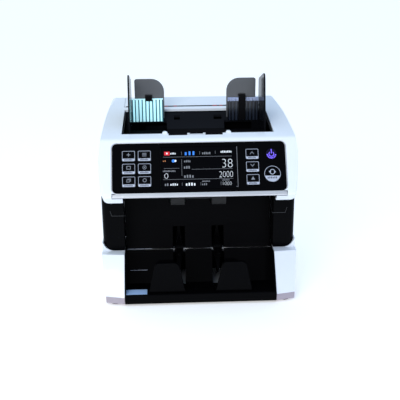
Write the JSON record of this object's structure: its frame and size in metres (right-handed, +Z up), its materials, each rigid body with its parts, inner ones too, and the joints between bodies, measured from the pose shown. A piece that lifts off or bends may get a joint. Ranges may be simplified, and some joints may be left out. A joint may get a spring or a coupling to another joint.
{
  "type": "banknote counter",
  "caption": "Front-loading desktop banknote value counter: white case, tilted black panel with colour screen and keys, hopper with sliding note guides, open output pocket.",
  "frame": {"origin": "on the table under the middle of the machine", "axes": "+Z up, +X to the operator's right, +Y away from the operator; the control panel faces -Y"},
  "size_m": [0.2528, 0.23, 0.2793],
  "materials": {
    "white_abs": "satin moulded ABS, cool white",
    "gloss_black": "high gloss black",
    "black_plastic": "fine textured black",
    "smoked_plastic": "smoked, nearly black",
    "smoked_clear": "smoked translucent",
    "ribbed_plastic": "silvered ribs",
    "silver_trim": "bright plated trim",
    "display_glass": "dark screen glass",
    "key_power": "lit violet ring",
    "steel": "plated steel",
    "painted_steel": "grey coated steel",
    "port_metal": "plated port shells",
    "circuit_board": "green solder mask",
    "rubber": "matt rubber"
  },
  "bodies": {
    "casing": {"head_shell": "white_abs", "front_trim": "silver_trim", "head_underside": "black_plastic", "control_panel": "gloss_black", "display_module": "display_glass", "key_board": "circuit_board", "hopper_tray": "black_plastic", "hopper_front": "black_plastic", "guide_rail": "steel", "side_shell_left": "white_abs", "side_shell_right": "white_abs", "side_panel_left": "gloss_black", "side_panel_right": "gloss_black", "output_tray": "gloss_black", "chute_plate": "black_plastic", "base_pan": "painted_steel", "stop_left": "gloss_black", "stop_right": "gloss_black", "foot_front_left": "rubber", "foot_front_right": "rubber", "foot_rear_left": "rubber", "foot_rear_right": "rubber", "drive_motor": "painted_steel", "drive_belt": "rubber", "side_frame_left": "steel", "side_frame_right": "steel", "hinge_rod": "steel", "rear_panel": "black_plastic", "power_inlet": "black_plastic", "port_block": "port_metal", "power_supply": "painted_steel", "main_board": "circuit_board"},
    "guide_left": {"guide_left": "smoked_plastic", "guide_plate_left": "ribbed_plastic"},
    "guide_right": {"guide_right": "smoked_plastic", "guide_plate_right": "ribbed_plastic"},
    "guide_pinion": {"guide_pinion": "black_plastic"},
    "extension_left": {"extension_left": "smoked_clear"},
    "extension_right": {"extension_right": "smoked_clear"},
    "feed": {"feed_shaft": "steel", "feed_roller": "rubber"},
    "pickup": {"pickup_shaft": "steel", "pickup_roller": "rubber"},
    "stacker": {"stacker_shaft": "steel", "stacker_wheel_left": "black_plastic", "stacker_wheel_right": "black_plastic"},
    "motor_rotor": {"motor_pulley": "steel"},
    "rear_cover": {"rear_cover": "white_abs"},
    "power_switch": {"power_switch": "black_plastic"},
    "key_a1": {"key_a1": "gloss_black"},
    "key_a2": {"key_a2": "gloss_black"},
    "key_a3": {"key_a3": "gloss_black"},
    "key_b1": {"key_b1": "gloss_black"},
    "key_b2": {"key_b2": "gloss_black"},
    "key_b3": {"key_b3": "gloss_black"},
    "key_c1": {"key_c1": "gloss_black"},
    "key_c2": {"key_c2": "gloss_black"},
    "key_c3": {"key_c3": "gloss_black"},
    "key_power": {"key_power": "key_power"},
    "key_restart": {"key_restart": "gloss_black"}
  },
  "joints": [
    {"name": "guide_left_slide", "type": "slide", "parent": "casing", "child": "guide_left", "axis": [1, 0, 0], "range_m": [0, 0.035]},
    {"name": "guide_right_slide", "type": "slide", "parent": "casing", "child": "guide_right", "axis": [-1, 0, 0], "range_m": [0, 0.035]},
    {"name": "guide_pinion_turn", "type": "hinge", "parent": "casing", "child": "guide_pinion", "pos_m": [0, 0.029, 0.19], "axis": [0, 1, 0], "range_deg": [0, 270]},
    {"name": "extension_left_slide", "type": "slide", "parent": "guide_left", "child": "extension_left", "axis": [0, 0, 1], "range_m": [0, 0.02]},
    {"name": "extension_right_slide", "type": "slide", "parent": "guide_right", "child": "extension_right", "axis": [0, 0, 1], "range_m": [0, 0.02]},
    {"name": "feed_spin", "type": "hinge", "parent": "casing", "child": "feed", "pos_m": [0, -0.046, 0.126], "axis": [1, 0, 0], "continuous": true},
    {"name": "pickup_spin", "type": "hinge", "parent": "casing", "child": "pickup", "pos_m": [0, -0.038, 0.1625], "axis": [1, 0, 0], "continuous": true},
    {"name": "stacker_spin", "type": "hinge", "parent": "casing", "child": "stacker", "pos_m": [0, -0.03, 0.042], "axis": [1, 0, 0], "continuous": true},
    {"name": "motor_spin", "type": "hinge", "parent": "casing", "child": "motor_rotor", "pos_m": [0, 0.06, 0.042], "axis": [1, 0, 0], "continuous": true},
    {"name": "rear_cover_hinge", "type": "hinge", "parent": "casing", "child": "rear_cover", "pos_m": [0, 0.1113, 0.06], "axis": [-1, 0, 0], "range_deg": [0, 70]},
    {"name": "power_switch_rock", "type": "hinge", "parent": "casing", "child": "power_switch", "pos_m": [0.0415, 0.109, 0.029], "axis": [1, 0, 0], "range_deg": [0, 9]},
    {"name": "key_a1_press", "type": "slide", "parent": "casing", "child": "key_a1", "axis": [0, 0.866, -0.5], "range_m": [0, 0.0005], "stiffness_N_per_m": 800},
    {"name": "key_a2_press", "type": "slide", "parent": "casing", "child": "key_a2", "axis": [0, 0.866, -0.5], "range_m": [0, 0.0005], "stiffness_N_per_m": 800},
    {"name": "key_a3_press", "type": "slide", "parent": "casing", "child": "key_a3", "axis": [0, 0.866, -0.5], "range_m": [0, 0.0005], "stiffness_N_per_m": 800},
    {"name": "key_b1_press", "type": "slide", "parent": "casing", "child": "key_b1", "axis": [0, 0.866, -0.5], "range_m": [0, 0.0005], "stiffness_N_per_m": 800},
    {"name": "key_b2_press", "type": "slide", "parent": "casing", "child": "key_b2", "axis": [0, 0.866, -0.5], "range_m": [0, 0.0005], "stiffness_N_per_m": 800},
    {"name": "key_b3_press", "type": "slide", "parent": "casing", "child": "key_b3", "axis": [0, 0.866, -0.5], "range_m": [0, 0.0005], "stiffness_N_per_m": 800},
    {"name": "key_c1_press", "type": "slide", "parent": "casing", "child": "key_c1", "axis": [0, 0.866, -0.5], "range_m": [0, 0.0005], "stiffness_N_per_m": 800},
    {"name": "key_c2_press", "type": "slide", "parent": "casing", "child": "key_c2", "axis": [0, 0.866, -0.5], "range_m": [0, 0.0005], "stiffness_N_per_m": 800},
    {"name": "key_c3_press", "type": "slide", "parent": "casing", "child": "key_c3", "axis": [0, 0.866, -0.5], "range_m": [0, 0.0005], "stiffness_N_per_m": 800},
    {"name": "key_power_press", "type": "slide", "parent": "casing", "child": "key_power", "axis": [0, 0.866, -0.5], "range_m": [0, 0.0005], "stiffness_N_per_m": 800},
    {"name": "key_restart_press", "type": "slide", "parent": "casing", "child": "key_restart", "axis": [0, 0.866, -0.5], "range_m": [0, 0.0005], "stiffness_N_per_m": 800}
  ],
  "couplings": [
    {"joint": "guide_right_slide", "follows": "guide_left_slide", "ratio": 1},
    {"joint": "guide_pinion_turn", "follows": "guide_left_slide", "rad_per_m": 133.33},
    {"joint": "pickup_spin", "follows": "feed_spin", "ratio": 1.2},
    {"joint": "stacker_spin", "follows": "feed_spin", "ratio": 1},
    {"joint": "motor_spin", "follows": "feed_spin", "ratio": 1.5}
  ]
}
